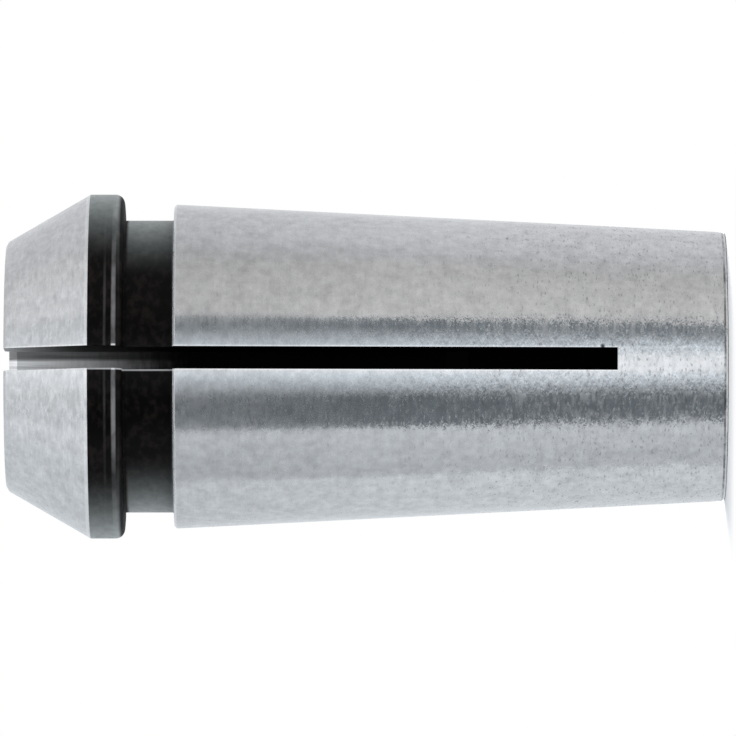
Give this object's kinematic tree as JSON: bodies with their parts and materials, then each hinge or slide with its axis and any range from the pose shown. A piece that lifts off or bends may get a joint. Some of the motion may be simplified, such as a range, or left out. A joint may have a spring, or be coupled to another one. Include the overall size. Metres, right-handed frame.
{
  "type": "router collet",
  "caption": "One-piece slotted collet with a steep nose cone, black flange and groove, and a long shallow taper, gripping a round cutter shank.",
  "frame": {"origin": "centre of the small rear end face, on which the collet stands", "axes": "+Z along the axis from the rear end face to the nose; -Y through the middle of one slit; +X to the right as that slit faces the viewer"},
  "size_m": [0.0172, 0.0172, 0.0359],
  "materials": {
    "ground_steel": "ground bright on the nose cone and the taper, blackened on the flange, in the groove and in the slits"
  },
  "bodies": {
    "root": {"collet": "ground_steel"}
  },
  "joints": []
}
